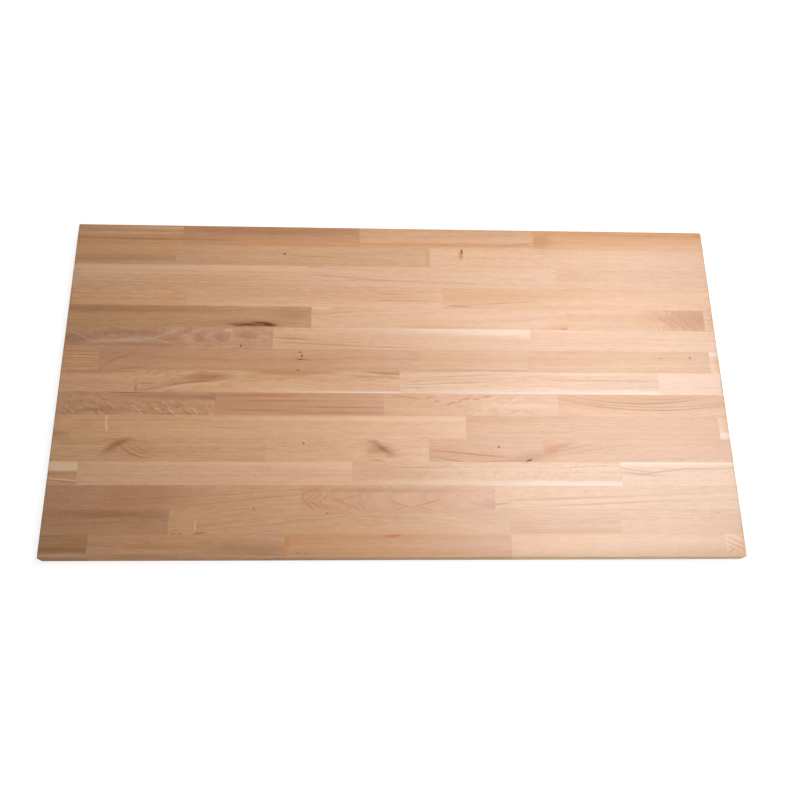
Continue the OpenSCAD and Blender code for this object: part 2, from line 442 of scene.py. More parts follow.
# Straight rift-sawn grain unless a stave says otherwise. pith is how far the log's centre lies across
# and below the stave in mm, lean and tilt how fast it drifts along it in mm per metre, bow is the
# sag of the lines in mm over 100 mm from bowAt (mm from the panel's left end), and a mark is its kind,
# its two ends and its height from the left end and the near edge, its thickness, its rise and how far
# its middle hangs below its ends, in mm. fleckSpan is where flecks show, and fleckTurn their slant.
plainStave = {
    "pith": (75, 30),
    "lean": 0,
    "tilt": 0,
    "bow": 0,
    "bowAt": 600,
    "ring": 3.4,
    "wave": 2.2,
    "lines": 0.27,
    "flecks": 0,
    "fleckTurn": 52,
    "fleckSpan": (0, 1200),
    "shade": 1.0,
    "warmth": 0,
    "knot": None,
    "marks": (),
}
staves = {
    "row_01_stave_1": {
        "tone": "tan",
        "warmth": 0.03,
        "shade": 0.93,
        "ring": 5,
        "lines": 0.34,
        "marks": (
            ("brown", 20, 250, 604, 3, -3),
            ("gold", -60, 260, 599, 7),
            ("pale", -20, 190, 617, 5),
            ("pale", 100, 260, 629, 6),
        ),
    },
    "row_01_stave_2": {
        "tone": "brown",
        "warmth": 0.05,
        "wave": 4,
        "shade": 1.01,
        "marks": (("gold", 180, 640, 601, 13), ("smoke", 150, 520, 625, 14), ("line", 195, 300, 604, 2)),
    },
    "row_01_stave_3": {
        "tone": "rose",
        "lean": 20,
        "shade": 0.95,
        "marks": (("orange", 430, 960, 600, 8), ("brown", 800, 890, 604, 3, 12), ("ember", 690, 702, 600, 2)),
    },
    "row_01_stave_4": {
        "tone": "amber",
        "warmth": -0.03,
        "shade": 1.15,
        "marks": (
            ("gold", 780, 1240, 598, 6),
            ("rust", 800, 1280, 613, 17, 4),
            ("rust", 900, 1300, 626, 3, -4),
            ("rust", 860, 1260, 634, 4),
            ("brown", 860, 900, 608, 26),
        ),
    },
    "row_02_stave_1": {
        "tone": "rose",
        "warmth": 0.09,
        "shade": 0.94,
        "marks": (("gold", -20, 190, 589, 10), ("smoke", -40, 210, 562, 16)),
    },
    "row_02_stave_2": {
        "tone": "rose",
        "ring": 2.6,
        "shade": 0.94,
        "marks": (
            ("gold", 150, 500, 591, 9),
            ("pin", 388, 392, 576, 5),
            ("line", 380, 520, 571, 1.6, -5),
            ("warm", 660, 667, 572, 46),
        ),
    },
    "row_02_stave_3": {
        "tone": "sand",
        "ring": 5,
        "shade": 1.01,
        "marks": (("core", 725, 729, 586, 12), ("ember", 722, 729, 577, 16), ("gold", 735, 880, 591, 8)),
    },
    "row_03_stave_1": {
        "tone": "sand",
        "ring": 5,
        "lines": 0.3,
        "shade": 1.01,
        "marks": (("pale", -190, 620, 546, 14), ("pale", 240, 420, 549, 4), ("pale", -60, 300, 533, 4)),
    },
    "row_03_stave_2": {
        "tone": "sand",
        "warmth": -0.07,
        "lean": -12,
        "marks": (
            ("line", 450, 560, 528, 2, -8),
            ("line", 520, 660, 522, 1.8, -3),
            ("faint", 680, 760, 519, 1.6),
            ("faint", 446, 480, 501, 3),
        ),
    },
    "row_03_stave_3": {"tone": "rose", "ring": 2.8, "shade": 0.99},
    "row_04_stave_1": {"tone": "honey", "ring": 4, "lines": 0.34, "shade": 0.98},
    "row_04_stave_2": {
        "tone": "rose",
        "ring": 4,
        "shade": 1.02,
        "marks": (("pale", 190, 740, 469, 8), ("line", 556, 630, 493.5, 2), ("faint", 540, 690, 480, 3)),
    },
    "row_04_stave_3": {
        "tone": "tan",
        "ring": 3,
        "shade": 1.07,
        "warmth": -0.05,
        "marks": (("warm", 640, 920, 492, 24, 4), ("line", 735, 860, 477, 1.8, 8), ("line", 700, 740, 470, 3)),
    },
    "row_05_stave_1": {
        "tone": "umber",
        "ring": 2.6,
        "wave": 4,
        "flecks": 0.3,
        "fleckTurn": 8,
        "shade": 1.15,
        "warmth": -0.07,
        "knot": (335, 431, 22, 0.4),
        "marks": (
            ("smoke", -60, 240, 458, 16),
            ("gold", 60, 330, 447, 10),
            ("brown", 268, 392, 430, 14),
            ("bark", 298, 378, 429, 8),
            ("core", 304, 346, 428, 2.2, 5),
            ("core", 336, 372, 432.5, 2.6, -3),
            ("core", 356, 378, 428, 5, -2),
            ("smoke", 376, 440, 450, 26),
        ),
    },
    "row_05_stave_2": {
        "tone": "sand",
        "lean": 60,
        "wave": 4,
        "bow": -0.6,
        "bowAt": 640,
        "marks": (
            ("cream", 436, 478, 463.5, 3),
            ("pale", 440, 640, 452, 3, 12),
            ("rust", 600, 760, 427, 7),
            ("gold", 740, 900, 425, 3),
            ("gold", 780, 816, 442, 7),
            ("orange", 872, 950, 427, 14, 4),
            ("ember", 907, 930, 425, 6),
            ("gold", 890, 930, 438, 34),
        ),
    },
    "row_05_stave_3": {
        "tone": "tan",
        "flecks": 1.4,
        "fleckTurn": -68,
        "fleckSpan": (1075, 1230),
        "wave": 4,
        "shade": 1.03,
        "warmth": -0.02,
        "marks": (
            ("rust", 1040, 1300, 446, 60),
            ("brown", 1110, 1250, 450, 60),
            ("line", 1080, 1126, 445, 2, -34, 4),
            ("line", 1104, 1140, 446, 2, -36, 3),
            ("line", 1124, 1156, 446, 2, -36, 3),
            ("pale", 900, 1060, 462, 8),
        ),
    },
    "row_05_stave_4": {"tone": "sand", "warmth": 0.06, "marks": (("gold", 1180, 1204, 430, 14),)},
    "row_06_stave_1": {
        "tone": "smoke",
        "warmth": 0.03,
        "pith": (4, 30),
        "tilt": 30,
        "wave": 5,
        "ring": 4,
        "lines": 0.3,
        "flecks": 0.3,
        "shade": 1.08,
        "marks": (
            ("dusk", -20, 56, 398, 20),
            ("dusk", 60, 210, 387, 6),
            ("dusk", 50, 170, 410, 8),
            ("dusk", 230, 252, 402, 18),
            ("dusk", 268, 290, 403, 20),
            ("dusk", 306, 344, 406, 15),
            ("dusk", 170, 206, 400, 14),
            ("ray", -6, 58, 405, 3.4, -30),
            ("ray", 52, 160, 396, 7, 6),
            ("ray", 150, 204, 407, 3.4, 20),
            ("ray", 150, 200, 394, 3, -12),
            ("ray", 204, 254, 411, 3.6, 20),
            ("ray", 212, 246, 394, 3, -12),
            ("ray", 250, 274, 410, 3.6, 17),
            ("ray", 250, 296, 395, 3.4, -20),
            ("pale", 286, 300, 417, 7),
            ("pin", 315, 319, 386, 4.4),
        ),
    },
    "row_06_stave_2": {
        "tone": "sand",
        "lean": -15,
        "wave": 4,
        "shade": 0.97,
        "marks": (
            ("dark", 376, 449, 401, 1.4, -4),
            ("line", 380, 560, 390, 1.8, -8),
            ("line", 540, 660, 385, 1.6, -3),
            ("sap", 400, 1300, 424, 30, -30),
            ("gold", 480, 1000, 402, 10, -8),
        ),
    },
    "row_06_stave_3": {"tone": "sand", "ring": 4, "lines": 0.22, "warmth": 0.03, "marks": (("pale", 800, 1000, 420, 5),)},
    "row_07_stave_1": {
        "tone": "tan",
        "ring": 6.5,
        "lines": 0.34,
        "wave": 1,
        "marks": (("line", 0, 80, 373, 1.3), ("line", 0, 76, 366, 1.3, -2), ("line", -6, 70, 360, 1.3, -1)),
    },
    "row_07_stave_2": {
        "tone": 'brown',
        "wave": 4.5,
        "ring": 4,
        "shade": 1.06,
        "marks": (
            ("line", 70, 104, 353, 2, 20, -3),
            ("line", 72, 130, 362, 1.6, 18, -3),
            ("line", 96, 150, 341, 1.8, 6),
            ("pin", 422, 428, 374, 2.4),
            ("pin", 426, 430, 367, 4.8),
            ("brown", 416, 444, 360, 5, -3),
            ("pin", 420, 430, 360, 2, -2),
            ("pin", 418, 425, 339, 2.2),
        ),
    },
    "row_07_stave_3": {"tone": "tan", "shade": 0.97, "marks": (("line", 640, 870, 341, 2.4), ("warm", 640, 900, 362, 10))},
    "row_07_stave_4": {
        "tone": "amber",
        "warmth": -0.03,
        "shade": 1.06,
        "lean": 12,
        "marks": (("pin", 1143, 1148, 369, 3.4), ("pin", 1089, 1093, 368, 1.8), ("line", 1060, 1145, 368, 0.8)),
    },
    "row_07_stave_5": {"tone": "sand", "shade": 1.02, "marks": (("sap", 1176, 1206, 376, 8),)},
    "row_08_stave_1": {"tone": "rose", "warmth": 0.03, "shade": 1.03, "ring": 3, "marks": (("brown", -20, 140, 334, 6),)},
    "row_08_stave_2": {
        "tone": "tan",
        "lean": 20,
        "wave": 6,
        "lines": 0.34,
        "ring": 5,
        "shade": 1.04,
        "warmth": -0.08,
        "flecks": 0.8,
        "fleckTurn": 40,
        "fleckSpan": (130, 230),
        "marks": (
            ("heart", 340, 492, 338, 19),
            ("heart", 530, 680, 338, 12),
            ("brown", 215, 296, 326, 14, 6),
            ("brown", 236, 290, 325, 8, 2),
            ("pale", 150, 300, 308, 5, 17),
            ("vein", 133, 196, 301, 1.8, 8),
            ("line", 140, 230, 307, 2.6, 14),
            ("vein", 190, 292, 315.5, 2.8, 11),
            ("vein", 134, 137, 303, 14),
            ("line", 138, 166, 312, 1.6),
            ("vein", 556, 612, 333, 3, -3),
            ("brown", 500, 620, 327, 3, -4),
            ("sap", 420, 700, 296, 6),
            ("pale", 300, 500, 300, 6),
        ),
    },
    "row_08_stave_3": {
        "tone": "sand",
        "lean": 30,
        "ring": 5,
        "lines": 0.34,
        "shade": 0.96,
        "marks": (
            ("sap", 640, 1520, 293, 21),
            ("faint", 606, 780, 328, 2.4, 10),
            ("faint", 606, 700, 321, 2.2, 7),
            ("pale", 620, 760, 312, 3, 5),
            ("faint", 640, 780, 316, 2, 6),
            ("brown", 880, 1090, 322, 3),
            ("pale", 780, 1100, 335, 4),
        ),
    },
    "row_08_stave_4": {"tone": "pale", "warmth": -0.03, "lines": 0.16, "shade": 0.96},
    "row_09_stave_1": {
        "tone": "brown",
        "wave": 7,
        "flecks": 1.5,
        "fleckTurn": -36,
        "lines": 0.3,
        "shade": 1.09,
        "warmth": -0.02,
        "marks": (
            ("dusk", 130, 290, 287, 9, -3),
            ("dark", 96, 150, 294, 1.4),
            ("dusk", 40, 104, 263, 7),
            ("blush", 150, 290, 283, 12),
            ("dusk", 244, 290, 286, 10),
        ),
    },
    "row_09_stave_2": {
        "tone": 'brown',
        "warmth": 0.06,
        "ring": 2.4,
        "shade": 1.05,
        "marks": (
            ("line", 420, 620, 268, 3, -1),
            ("brown", 277, 420, 290, 4),
            ("brown", 330, 460, 280, 3),
            ("brown", 300, 420, 262, 3),
            ("brown", 400, 600, 258, 5),
        ),
    },
    "row_09_stave_3": {
        "tone": "tan",
        "wave": 5,
        "flecks": 0.8,
        "fleckTurn": 28,
        "fleckSpan": (690, 850),
        "shade": 1.0,
        "marks": (
            ("pin", 879, 883, 251, 3.6),
            ("ember", 652, 665, 288, 3, 2),
            ("ember", 668, 676, 281, 3.4, 3),
            ("ember", 690, 704, 276.5, 4.4, 6),
            ("ember", 710, 718, 281, 4, 4),
            ("ember", 717, 732, 286, 3, 3),
            ("ember", 736, 750, 285.5, 3, 2),
            ("ember", 752, 770, 290, 3, 2),
            ("brown", 590, 640, 289, 4, -6),
            ("pale", 760, 880, 272, 8),
        ),
    },
    "row_09_stave_4": {
        "tone": "amber",
        "bow": 8,
        "bowAt": 1055,
        "ring": 5,
        "wave": 1,
        "lines": 0.26,
        "shade": 1.056,
        "marks": (
            ("rust", 860, 1240, 284, 24),
            ("vein", 870, 1230, 265.5, 2, -10, 22),
            ("arc", 870, 1230, 271.5, 1.8, -8, 18),
            ("vein", 915, 1180, 278, 2.2, 2, 15),
            ("arc", 1010, 1160, 286, 1.6, 2, 8),
        ),
    },
    "row_10_stave_1": {"tone": "tan", "shade": 1.1, "marks": (("smoke", -20, 34, 217, 9),)},
    "row_10_stave_2": {
        "tone": "honey",
        "warmth": -0.03,
        "shade": 1.0,
        "ring": 6,
        "lines": 0.26,
        "marks": (("cream", 88.4, 91.4, 243, 20), ("cream", 90.2, 94.2, 229, 12)),
    },
    "row_10_stave_3": {
        "tone": "rose",
        "wave": 4,
        "ring": 4,
        "lines": 0.22,
        "shade": 1.05,
        "marks": (("line", 256, 340, 229, 1.2, -6), ("pale", 330, 720, 246, 6)),
    },
    "row_10_stave_4": {"tone": "amber", "ring": 4, "lines": 0.3, "wave": 1.5, "shade": 1.02},
    "row_10_stave_5": {"tone": "amber", "warmth": 0.08, "lines": 0.2, "shade": 1.02},
    "row_10_stave_6": {"tone": "sand", "marks": (("sap", 1178, 1204, 218, 12),)},
    "row_11_stave_1": {
        "tone": "tan",
        "ring": 3,
        "lines": 0.3,
        "knot": (112, 194, 26, 0.7),
        "shade": 1.05,
        "warmth": -0.06,
        "marks": (
            ("blush", 108, 182, 190, 34),
            ("knot", 88, 132, 196, 15, 24),
            ("brown", 96, 134, 200, 10, 18),
            ("line", 114, 150, 184, 2, -26, 6),
            ("line", 120, 172, 178, 2.4, -20, 6),
            ("faint", 126, 166, 186, 2, -20, 6),
            ("faint", 138, 176, 188, 2, -18, 6),
            ("gold", 176, 420, 172, 8),
        ),
    },
    "row_11_stave_2": {
        "tone": "rose",
        "shade": 1.03,
        "knot": (574, 190, 20, 0.5),
        "marks": (
            ("rust", 544, 568, 186, 10),
            ("brown", 548, 598, 190, 20, -12),
            ("knot", 558, 590, 191, 13, -19),
            ("vein", 566, 586, 189.5, 6, -11),
            ("line", 560, 580, 197, 3, -9),
            ("line", 546, 566, 204, 2.4, -1),
            ("line", 556, 574, 170.5, 2.4, -2),
            ("pin", 433, 437, 201, 4),
        ),
    },
    "row_11_stave_3": {
        "tone": "tan",
        "shade": 0.946,
        "warmth": 0.12,
        "lean": -10,
        "wave": 4,
        "knot": (830, 174, 16, 0.6),
        "marks": (
            ("rust", 640, 864, 178, 16, -13),
            ("vein", 660, 800, 182, 3, -14),
            ("vein", 664, 728, 171, 2.4, -12),
            ("line", 728, 834, 169.5, 2.6, 3),
            ("brown", 808, 868, 177, 20, 8),
            ("core", 827, 838, 170.5, 4, 4),
            ("pin", 777, 782, 195, 3.8),
        ),
    },
    "row_11_stave_4": {
        "tone": "amber",
        "warmth": 0.03,
        "shade": 1.03,
        "lean": 20,
        "marks": (
            ("orange", 846, 886, 187, 46),
            ("brown", 850, 912, 192, 12, 22),
            ("line", 872, 960, 194, 1.8, 20),
            ("line", 884, 1000, 189, 1.4, 20),
        ),
    },
    "row_12_stave_1": {
        "tone": "tan",
        "ring": 6,
        "shade": 1.03,
        "warmth": -0.05,
        "marks": (
            ("cream", -260, 310, 160, 18),
            ("cream", -260, 310, 158, 14),
            ("blush", -60, 110, 144, 10),
            ("cream", -20, 70, 135, 2.4, -8),
            ("line", -10, 70, 131.5, 2, -8),
        ),
    },
    "row_12_stave_2": {
        "tone": "pale",
        "warmth": 0.11,
        "ring": 6,
        "lines": 0.24,
        "shade": 0.95,
        "marks": (("pale", 360, 640, 162, 14), ("pale", 100, 400, 164, 6)),
    },
    "row_12_stave_3": {
        "tone": "sand",
        "wave": 4,
        "flecks": 0.3,
        "shade": 0.98,
        "marks": (
            ("sap", 770, 1050, 126, 14),
            ("pale", 520, 840, 130, 10),
            ("warm", 500, 680, 148, 30),
            ("faint", 560, 680, 157, 1.6, 6),
        ),
    },
    "row_12_stave_4": {
        "tone": "sand",
        "warmth": -0.03,
        "wave": 3,
        "ring": 4.5,
        "lines": 0.3,
        "shade": 1.03,
        "marks": (
            ("sap", 860, 1330, 167, 9, 4),
            ("line", 990, 1052, 153, 2.4, -8, 1),
            ("line", 1036, 1112, 151, 2.8, 9),
            ("brown", 996, 1066, 146, 4, -6),
            ("faint", 1080, 1240, 156, 2.4, 2),
        ),
    },
    "row_13_stave_1": {"tone": "brown", "shade": 1.0, "wave": 6, "flecks": 0.4, "lines": 0.3},
    "row_13_stave_2": {
        "tone": "brown",
        "shade": 1.18,
        "warmth": -0.07,
        "lean": 50,
        "wave": 4,
        "ring": 4.5,
        # the wide brown mark over the left end is painted shade: it darkens the stave towards its left end,
        # where the lamp's light falls off
        "marks": (("brown", 40, 250, 104, 60), ("pin", 352, 355, 84, 2.4), ("faint", 240, 380, 96, 2, 14), ("faint", 300, 430, 103, 1.8, 10)),
    },
    "row_13_stave_3": {
        "tone": "brown",
        "shade": 1.16,
        "pith": (1, 36),
        "tilt": -90,
        "wave": 3,
        "ring": 3.2,
        "lines": 0.22,
        "marks": (
            ("smoke", 434, 700, 116, 6),
            ("line", 438, 456, 103, 2.2, 14),
            ("line", 438, 456, 90, 2.2, -13),
            ("line", 450, 468, 103, 2.2, 14),
            ("line", 450, 468, 90, 2.2, -13),
            ("faint", 464, 482, 102, 2.4, 14),
            ("faint", 464, 482, 89, 2.4, -13),
            ("faint", 496, 540, 104, 2.4, 12),
            ("faint", 496, 530, 91, 2.6, -14),
            ("line", 588, 614, 92.5, 2.4, -9),
            ("faint", 588, 614, 83.5, 2.4, 8),
            ("line", 631, 672, 94, 2.8, 12),
            ("faint", 631, 666, 84, 2.6, -8),
            ("smoke", 738, 790, 89, 18),
        ),
    },
    "row_13_stave_4": {
        "tone": "rose",
        "warmth": -0.05,
        "lean": 18,
        "wave": 4,
        "ring": 6,
        "shade": 1.03,
        "marks": (
            ("faint", 740, 1010, 101, 3, 10),
            ("faint", 830, 1100, 93, 2.6, 12),
            ("ember", 768, 796, 93, 2.4, 3),
        ),
    },
    "row_14_stave_1": {
        "tone": "brown",
        "shade": 0.93,
        "ring": 3,
        "wave": 4,
        "flecks": 0.4,
        "lines": 0.3,
        "marks": (("brown", 20, 200, 74, 12), ("gold", -30, 260, 46, 14), ("line", 176, 220, 69, 1.8)),
    },
    "row_14_stave_2": {
        "tone": "tan",
        "warmth": -0.02,
        "wave": 5,
        "shade": 0.99,
        "ring": 4.5,
        "lines": 0.24,
        "bow": -1.8,
        "bowAt": 575,
        "marks": (
            ("dark", 216, 226, 41, 1.6),
            ("dark", 228, 236, 41, 1.4),
            ("dark", 254, 266, 41.5, 1.8),
            ("dark", 262, 276, 42.5, 1.4, 1),
            ("cream", 255.2, 257.6, 54, 20),
            ("gold", 570, 640, 41, 8),
            ("pin", 476, 480, 76, 2.4),
        ),
    },
    "row_14_stave_3": {"tone": "honey", "warmth": 0.08, "shade": 0.92, "marks": (("rust", 600, 1120, 45, 11),)},
    "row_14_stave_4": {
        "tone": "tan",
        "warmth": -0.03,
        "lean": -10,
        "ring": 3,
        "shade": 1.02,
        "marks": (("line", 1152, 1164, 77, 2), ("gold", 1000, 1180, 48, 6)),
    },
    "row_15_stave_1": {
        "tone": "umber",
        "shade": 0.97,
        "lines": 0.3,
        "marks": (("olive", -60, 120, 15, 6, -2), ("pale", -30, 110, 5, 6)),
    },
    "row_15_stave_2": {
        "tone": "brown",
        "shade": 1.08,
        "ring": 6,
        "wave": 4,
        "lines": 0.3,
        "marks": (("smoke", 150, 240, 18, 5), ("smoke", 100, 240, 4, 5), ("smoke", 280, 420, 14, 20)),
    },
    "row_15_stave_3": {
        "tone": "tan",
        "warmth": 0.09,
        "ring": 2.8,
        "shade": 0.96,
        "marks": (
            ("orange", 403, 417, 25, 22),
            ("rust", 404, 414, 7, 10),
            ("rust", 380, 800, 35, 9),
            # the pale strip along the near edge is painted light: it lightens the eased near edge, which the
            # lamps leave darker
            ("pale", 560, 960, 0, 6),
            ("ember", 578, 606, 37, 6),
            ("brown", 424, 436, 8, 5),
            ("brown", 440, 450, 8, 4),
        ),
    },
    "row_15_stave_4": {
        "tone": "tan",
        "warmth": -0.06,
        "shade": 1.09,
        "ring": 5,
        "lines": 0.22,
        # both strips along the near edge are painted light: they lighten the near edge and the near right
        # corner, which the lamps leave darker
        "marks": (("pale", 820, 1400, 2, 16), ("cream", 740, 1500, 0, 5)),
    },
    "row_15_stave_5": {
        "tone": "sand",
        "pith": (-4, 13),
        "tilt": 1200,
        "ring": 5,
        "lines": 0.12,
        "wave": 1.2,
        "shade": 1.15,
        "warmth": -0.06,
        "marks": (
            ("arc", 1166, 1201, 28, 2.4, -17),
            ("arc", 1166, 1197, 20, 2.4, -16),
            ("arc", 1167, 1186, 14, 2, -9),
            ("arc", 1166, 1178, 9, 2, 7),
            ("arc", 1182, 1204, 36, 2.2, -10),
            # the cream strip along the near edge is painted light: it lightens the eased near edge, which the
            # lamps leave darker
            ("cream", 1000, 1500, 0, 5),
        ),
    },
}

oilFinish = {
    "roughness": 0.34,
    "roughnessSpread": 0.12,  # early wood is duller
    "sheen": 0.6,  # share of a mirror's strength that the film of oil keeps
    "edgeSheen": 0.2,  # the edges of the panel are sawn and sanded, so they hardly shine
    "edgeRoughness": 0.3,
    "reliefHeight": 0.05 * mm,
    "reliefStrength": 0.35,
}


def fromCorner(x, y):
    return x - panelHalf.x / mm, y - panelHalf.y / mm


def oakMaterial(nodeName, look, grainTree, markTree, seed):
    low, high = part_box(nodeName)
    centre = (low + high) / 2 / mm
    material = bpy.data.materials.new("oiled oak " + nodeName.replace("_", " "))
    material.use_nodes = True
    tree = material.node_tree
    tree.nodes.clear()
    bowAt, _ = fromCorner(look["bowAt"], 0)
    toneColour = linearColour(tones[look["tone"]])
    cast = (1, 1 - look["warmth"] / 2, 1 - look["warmth"])
    toneColour = [c * look["shade"] * k for c, k in zip(toneColour, cast)] + [1]
    grain = addNode(
        tree,
        "ShaderNodeGroup",
        node_tree=grainTree,
    )
    settings = {
        "Centre": centre,
        "Half Size": (high - low) / 2 / mm,
        "Tone": toneColour,
        "Seed": seed,
        "Pith Across": look["pith"][0],
        "Pith Below": look["pith"][1],
        "Lean": look["lean"] * mm,
        "Tilt": look["tilt"] * mm,
        "Bow": look["bow"] * 1e-4,
        "Bow At": bowAt - centre.x,
        "Ring": look["ring"],
        "Wave": look["wave"],
        "Lines": look["lines"],
        "Flecks": look["flecks"],
        "Fleck Turn": math.radians(look["fleckTurn"]),
        "Fleck Start": fromCorner(look["fleckSpan"][0], 0)[0] - centre.x,
        "Fleck End": fromCorner(look["fleckSpan"][1], 0)[0] - centre.x,
        "Knot Size": 1,
        "Knot Pull": 0,
    }
    if look["knot"]:
        knotX, knotY, knotSize, knotPull = look["knot"]
        knotAt = Vector((*fromCorner(knotX, knotY), centre.z)) - centre
        settings.update({"Knot": knotAt, "Knot Size": knotSize, "Knot Pull": knotPull})
    for name, value in settings.items():
        grain.inputs[name].default_value = value
    colour = grain.outputs["Color"]
    relief = grain.outputs["Grain"]
    pit = 0
    for mark in look["marks"]:
        kind, startX, endX, y, thickness = mark[:5]
        rise = mark[5] if len(mark) > 5 else 0
        sag = mark[6] if len(mark) > 6 else 0
        hexText, strength, softness, ragged, _, dulling = markKinds[kind]
        shape = addNode(
            tree,
            "ShaderNodeGroup",
            node_tree=markTree,
        )
        shapeSettings = {
            "Centre": (*fromCorner((startX + endX) / 2, y), 0),
            "Half Length": (endX - startX) / 2,
            "Half Width": thickness / 2,
            "Slope": rise / (endX - startX),
            "Sag": sag,
            "Softness": softness,
            "Ragged": ragged,
            "Mark Color": linearColour(hexText),
            "Strength": strength,
        }
        for name, value in shapeSettings.items():
            shape.inputs[name].default_value = value
        tree.links.new(colour, shape.inputs["Base"])
        colour = shape.outputs["Color"]
        if dulling:
            loss = addNode(
                tree, "ShaderNodeMath", {0: shape.outputs["Mask"], 1: dulling}, operation="MULTIPLY"
            ).outputs[0]
            pit = addNode(tree, "ShaderNodeMath", {0: pit, 1: loss}, operation="MAXIMUM").outputs[0]
    facing = addNode(tree, "ShaderNodeTexCoord").outputs["Normal"]
    upright = addNode(tree, "ShaderNodeSeparateXYZ", {0: facing}).outputs[2]
    flat = addNode(tree, "ShaderNodeMath", {0: upright}, operation="ABSOLUTE").outputs[0]
    faceSheen = addNode(
        tree,
        "ShaderNodeMapRange",
        {"Value": flat, "From Max": 0.6, "To Min": oilFinish["edgeSheen"], "To Max": oilFinish["sheen"]},
    ).outputs[0]
    sheen = addNode(tree, "ShaderNodeMapRange", {"Value": pit, "To Min": faceSheen, "To Max": 0}).outputs[0]
    edgeDull = addNode(
        tree,
        "ShaderNodeMapRange",
        {"Value": flat, "From Max": 0.6, "To Min": oilFinish["edgeRoughness"], "To Max": 0},
    ).outputs[0]
    faceDull = addNode(
        tree,
        "ShaderNodeMapRange",
        {
            "Value": relief,
            "To Min": oilFinish["roughness"] + oilFinish["roughnessSpread"] / 2,
            "To Max": oilFinish["roughness"] - oilFinish["roughnessSpread"] / 2,
        },
    ).outputs[0]
    dull = addNode(tree, "ShaderNodeMath", {0: faceDull, 1: edgeDull}, operation="ADD").outputs[0]
    bump = addNode(
        tree,
        "ShaderNodeBump",
        {
            "Height": relief,
            "Strength": oilFinish["reliefStrength"],
            "Distance": oilFinish["reliefHeight"],
        },
    ).outputs[0]
    skin = addNode(
        tree,
        "ShaderNodeBsdfPrincipled",
        {"Base Color": colour, "Roughness": dull, "Specular IOR Level": sheen, "Normal": bump, "IOR": 1.48},
    )
    addNode(tree, "ShaderNodeOutputMaterial", {"Surface": skin.outputs[0]})
    return material


# The staves: a gridded block for each, with the panel's eased edges and real dents at its flaws

block = {
    "cell": 24 * mm,  # grid of a stave with nothing in its surface
    "fineCell": 1.5 * mm,  # grid where a dent has to show
    "border": 4 * mm,  # first grid line from each side, clear of the eased edge
    "topEase": 2 * mm,
    "underEase": 1 * mm,
    "easeSteps": 4,
    "touch": 0.01 * mm,
}


